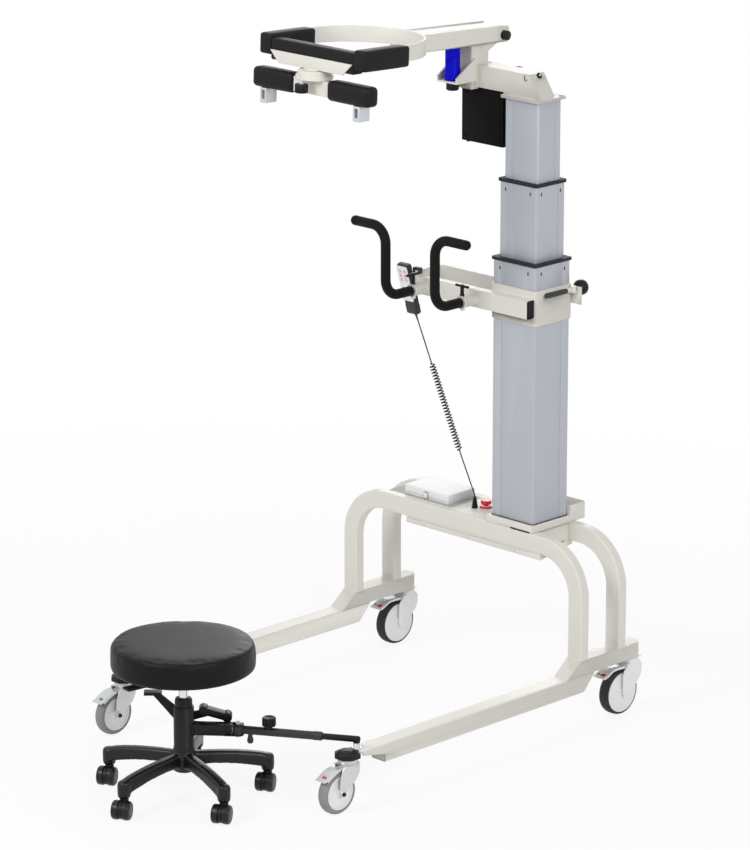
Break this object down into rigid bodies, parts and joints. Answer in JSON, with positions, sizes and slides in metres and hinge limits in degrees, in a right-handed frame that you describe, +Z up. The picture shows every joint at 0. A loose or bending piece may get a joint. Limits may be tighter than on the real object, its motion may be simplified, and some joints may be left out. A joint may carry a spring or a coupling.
{
  "type": "body weight support system",
  "caption": "Wheeled gait-training frame with a telescopic lifting column, sprung support yoke, adjustable handlebars, wired handset and a tethered stool.",
  "frame": {"origin": "on the floor under the centre of the overall box", "axes": "+X to the right seen from the open front, +Y from the open front to the column, +Z up"},
  "size_m": [0.911, 1.5948, 1.8856],
  "materials": {
    "cream_paint": "semi-gloss powder coat",
    "grey_paint": "fine texture powder coat",
    "anodised": "satin anodised extrusion",
    "steel": "zinc plated",
    "white_plastic": "smooth moulded",
    "black_plastic": "fine grain",
    "grey_plastic": "fine grain",
    "red_plastic": "smooth",
    "magenta_print": "printed film",
    "blue_rubber": "smooth elastomer",
    "foam_pad": "skinned foam",
    "black_vinyl": "upholstery vinyl",
    "grey_tyre": "cast tread",
    "black_tyre": "cast tread",
    "cable": "satin jacket",
    "black_paint": "satin powder coat"
  },
  "bodies": {
    "base_frame": {"side_rail_left": "cream_paint", "side_rail_right": "cream_paint", "arch_frame": "cream_paint", "deck_tray": "grey_paint", "battery_box": "white_plastic", "column_base": "cream_paint", "column_outer": "anodised", "lift_drive": "steel"},
    "emergency_stop": {"estop_button": "red_plastic"},
    "middle_column": {"column_middle": "anodised"},
    "top_column": {"column_inner": "anodised", "top_beam": "cream_paint", "drive_box": "black_plastic", "yoke_spring": "blue_rubber"},
    "beam_lock_knob": {"beam_knob": "grey_plastic"},
    "spring_setting_knob": {"spring_knob": "black_plastic"},
    "yoke": {"yoke_arm": "cream_paint", "yoke_bow": "cream_paint", "yoke_pads": "foam_pad"},
    "spreader": {"spreader_bar": "cream_paint", "spreader_pads": "foam_pad", "strap_blocks": "anodised"},
    "swivel_lock_knob": {"swivel_knob": "black_plastic"},
    "carriage": {"handle_carriage": "cream_paint", "handset": "grey_plastic", "handset_cord_curl": "cable", "handset_cord_leads": "cable"},
    "keys": {"handset_buttons": "magenta_print"},
    "cam_lever": {"clamp_lever": "grey_plastic"},
    "tension_knob": {"clamp_knob": "black_plastic"},
    "left_handlebar": {"handlebar_left": "foam_pad"},
    "right_handlebar": {"handlebar_right": "foam_pad"},
    "left_t_screw": {"t_screw_left": "black_plastic"},
    "right_t_screw": {"t_screw_right": "black_plastic"},
    "stool_rod": {"stool_arm_rod": "black_paint"},
    "stool_tube": {"stool_arm_tube": "black_paint"},
    "stool_clamp_knob": {"stool_arm_knob": "black_plastic"},
    "stool_stand": {"stool_base": "black_paint"},
    "seat_piston": {"stool_seat_post": "steel"},
    "seat": {"stool_seat_plate": "black_paint", "stool_cushion": "black_vinyl"},
    "height_lever": {"stool_height_lever": "black_plastic"},
    "lock_lever": {"stool_lock_lever": "black_plastic"},
    "stool_caster_1": {"stool_caster_1": "black_plastic"},
    "stool_caster_2": {"stool_caster_2": "black_plastic"},
    "stool_caster_3": {"stool_caster_3": "black_plastic"},
    "stool_caster_4": {"stool_caster_4": "black_plastic"},
    "stool_caster_5": {"stool_caster_5": "black_plastic"},
    "rear_left_fork": {"rear_fork_left": "white_plastic"},
    "rear_left_wheel": {"rear_wheel_left": "black_tyre"},
    "rear_left_pedal": {"rear_pedal_left": "white_plastic"},
    "rear_right_fork": {"rear_fork_right": "white_plastic"},
    "rear_right_wheel": {"rear_wheel_right": "black_tyre"},
    "rear_right_pedal": {"rear_pedal_right": "white_plastic"},
    "front_left_fork": {"front_fork_left": "steel"},
    "front_left_wheel": {"front_wheel_left": "grey_tyre"},
    "front_left_pedal": {"front_pedal_left": "steel"},
    "front_right_fork": {"front_fork_right": "steel"},
    "front_right_wheel": {"front_wheel_right": "grey_tyre"},
    "front_right_pedal": {"front_pedal_right": "steel"}
  },
  "joints": [
    {"name": "stop_press", "type": "slide", "parent": "base_frame", "child": "emergency_stop", "axis": [0, 0, -1], "range_m": [0, 0.0035], "stiffness_N_per_m": 600, "springref_m": -0.002},
    {"name": "middle_lift", "type": "slide", "parent": "base_frame", "child": "middle_column", "axis": [0, 0, 1], "range_m": [-0.14, 0.2]},
    {"name": "top_lift", "type": "slide", "parent": "middle_column", "child": "top_column", "axis": [0, 0, 1], "range_m": [-0.14, 0.2]},
    {"name": "beam_knob_turn", "type": "hinge", "parent": "top_column", "child": "beam_lock_knob", "pos_m": [0.089, 0.665, 1.718], "axis": [0, 1, 0], "continuous": true},
    {"name": "spring_knob_turn", "type": "hinge", "parent": "top_column", "child": "spring_setting_knob", "pos_m": [-0.03, 0.549, 1.706], "axis": [0, 0, 1], "continuous": true},
    {"name": "yoke_spring_tilt", "type": "hinge", "parent": "top_column", "child": "yoke", "pos_m": [-0.03, 0.696, 1.819], "axis": [1, 0, 0], "range_deg": [-2, 4], "stiffness_Nm_per_rad": 2600, "springref_deg": -1.72, "deforming": ["yoke_spring"]},
    {"name": "spreader_swivel", "type": "hinge", "parent": "yoke", "child": "spreader", "pos_m": [-0.03, 0.03665, 1.80059], "axis": [0, 0.0419, 0.9991], "range_deg": [-60, 60]},
    {"name": "swivel_knob_turn", "type": "hinge", "parent": "spreader", "child": "swivel_lock_knob", "pos_m": [-0.03, -0.00981, 1.79053], "axis": [0, 0.0419, 0.9991], "continuous": true},
    {"name": "carriage_slide", "type": "slide", "parent": "base_frame", "child": "carriage", "axis": [0, 0, 1], "range_m": [-0.35, 0.06], "deforming": ["handset_cord_curl", "handset_cord_leads"]},
    {"name": "keys_press", "type": "slide", "parent": "carriage", "child": "keys", "axis": [0, 0.9613, 0.2756], "range_m": [0, 0.0004], "stiffness_N_per_m": 400, "springref_m": -0.0005},
    {"name": "cam_lever_swing", "type": "hinge", "parent": "carriage", "child": "cam_lever", "pos_m": [0.2714, 0.702, 1.165], "axis": [0, 0, 1], "range_deg": [0, 75]},
    {"name": "tension_knob_turn", "type": "hinge", "parent": "carriage", "child": "tension_knob", "pos_m": [0.2714, 0.7114, 1.165], "axis": [0, 1, 0], "continuous": true},
    {"name": "left_handlebar_turn", "type": "hinge", "parent": "carriage", "child": "left_handlebar", "pos_m": [-0.1215, 0.4876, 1.1295], "axis": [0, 1, 0], "range_deg": [-40, 15]},
    {"name": "left_t_screw_turn", "type": "hinge", "parent": "carriage", "child": "left_t_screw", "pos_m": [-0.1215, 0.4946, 1.1455], "axis": [0, 0, 1], "continuous": true},
    {"name": "right_handlebar_turn", "type": "hinge", "parent": "carriage", "child": "right_handlebar", "pos_m": [0.0615, 0.4876, 1.1295], "axis": [0, 1, 0], "range_deg": [-15, 40]},
    {"name": "right_t_screw_turn", "type": "hinge", "parent": "carriage", "child": "right_t_screw", "pos_m": [0.0615, 0.4946, 1.1455], "axis": [0, 0, 1], "continuous": true},
    {"name": "stool_rod_swing", "type": "hinge", "parent": "base_frame", "child": "stool_rod", "pos_m": [0.425, -0.268, 0.182], "axis": [0, 0, 1], "range_deg": [-18, 15]},
    {"name": "stool_arm_extend", "type": "slide", "parent": "stool_rod", "child": "stool_tube", "axis": [-0.8558, -0.5173, 0], "range_m": [-0.03, 0.1]},
    {"name": "stool_clamp_turn", "type": "hinge", "parent": "stool_tube", "child": "stool_clamp_knob", "pos_m": [0.22717, -0.38758, 0.193], "axis": [0, 0, 1], "continuous": true},
    {"name": "stool_swing", "type": "hinge", "parent": "stool_tube", "child": "stool_stand", "pos_m": [0.157, -0.43, 0.182], "axis": [0, 0, 1], "range_deg": [-22, 20]},
    {"name": "seat_height", "type": "slide", "parent": "stool_stand", "child": "seat_piston", "axis": [0, 0, 1], "range_m": [-0.03, 0.1]},
    {"name": "seat_swivel", "type": "hinge", "parent": "seat_piston", "child": "seat", "pos_m": [0.05, -0.521, 0.33], "axis": [0, 0, 1], "continuous": true},
    {"name": "height_lever_lift", "type": "hinge", "parent": "seat", "child": "height_lever", "pos_m": [0.04805, -0.53486, 0.324], "axis": [-0.9903, 0.1392, 0], "range_deg": [0, 5], "stiffness_Nm_per_rad": 4, "springref_deg": -5.73},
    {"name": "lock_lever_rock", "type": "hinge", "parent": "stool_stand", "child": "lock_lever", "pos_m": [0.05, -0.521, 0.2], "axis": [-0.7071, 0.7071, 0], "range_deg": [-8, 8], "stiffness_Nm_per_rad": 6},
    {"name": "stool_caster_swivel_1", "type": "hinge", "parent": "stool_stand", "child": "stool_caster_1", "pos_m": [0.17032, -0.33921, 0.062], "axis": [0, 0, 1], "continuous": true},
    {"name": "stool_caster_swivel_2", "type": "hinge", "parent": "stool_stand", "child": "stool_caster_2", "pos_m": [-0.08571, -0.35039, 0.062], "axis": [0, 0, 1], "continuous": true},
    {"name": "stool_caster_swivel_3", "type": "hinge", "parent": "stool_stand", "child": "stool_caster_3", "pos_m": [-0.15419, -0.59735, 0.062], "axis": [0, 0, 1], "continuous": true},
    {"name": "stool_caster_swivel_4", "type": "hinge", "parent": "stool_stand", "child": "stool_caster_4", "pos_m": [0.05951, -0.73879, 0.062], "axis": [0, 0, 1], "continuous": true},
    {"name": "stool_caster_swivel_5", "type": "hinge", "parent": "stool_stand", "child": "stool_caster_5", "pos_m": [0.26007, -0.57926, 0.062], "axis": [0, 0, 1], "continuous": true},
    {"name": "rear_left_swivel", "type": "hinge", "parent": "base_frame", "child": "rear_left_fork", "pos_m": [-0.425, 0.778, 0.155], "axis": [0, 0, 1], "continuous": true},
    {"name": "rear_left_roll", "type": "hinge", "parent": "rear_left_fork", "child": "rear_left_wheel", "pos_m": [-0.425, 0.7345, 0.0625], "axis": [1, 0, 0], "continuous": true},
    {"name": "rear_left_brake", "type": "hinge", "parent": "rear_left_fork", "child": "rear_left_pedal", "pos_m": [-0.425, 0.748, 0.13], "axis": [1, 0, 0], "range_deg": [0, 6]},
    {"name": "rear_right_swivel", "type": "hinge", "parent": "base_frame", "child": "rear_right_fork", "pos_m": [0.425, 0.778, 0.155], "axis": [0, 0, 1], "continuous": true},
    {"name": "rear_right_roll", "type": "hinge", "parent": "rear_right_fork", "child": "rear_right_wheel", "pos_m": [0.425, 0.7345, 0.0625], "axis": [1, 0, 0], "continuous": true},
    {"name": "rear_right_brake", "type": "hinge", "parent": "rear_right_fork", "child": "rear_right_pedal", "pos_m": [0.425, 0.748, 0.13], "axis": [1, 0, 0], "range_deg": [0, 6]},
    {"name": "front_left_swivel", "type": "hinge", "parent": "base_frame", "child": "front_left_fork", "pos_m": [-0.425, -0.3, 0.155], "axis": [0, 0, 1], "continuous": true},
    {"name": "front_left_roll", "type": "hinge", "parent": "front_left_fork", "child": "front_left_wheel", "pos_m": [-0.425, -0.34, 0.057], "axis": [1, 0, 0], "continuous": true},
    {"name": "front_left_brake", "type": "hinge", "parent": "front_left_fork", "child": "front_left_pedal", "pos_m": [-0.425, -0.33, 0.121], "axis": [1, 0, 0], "range_deg": [0, 8]},
    {"name": "front_right_swivel", "type": "hinge", "parent": "base_frame", "child": "front_right_fork", "pos_m": [0.425, -0.3, 0.155], "axis": [0, 0, 1], "continuous": true},
    {"name": "front_right_roll", "type": "hinge", "parent": "front_right_fork", "child": "front_right_wheel", "pos_m": [0.425, -0.34, 0.057], "axis": [1, 0, 0], "continuous": true},
    {"name": "front_right_brake", "type": "hinge", "parent": "front_right_fork", "child": "front_right_pedal", "pos_m": [0.425, -0.33, 0.121], "axis": [1, 0, 0], "range_deg": [0, 8]}
  ],
  "couplings": [
    {"joint": "top_lift", "follows": "middle_lift", "ratio": 1}
  ]
}
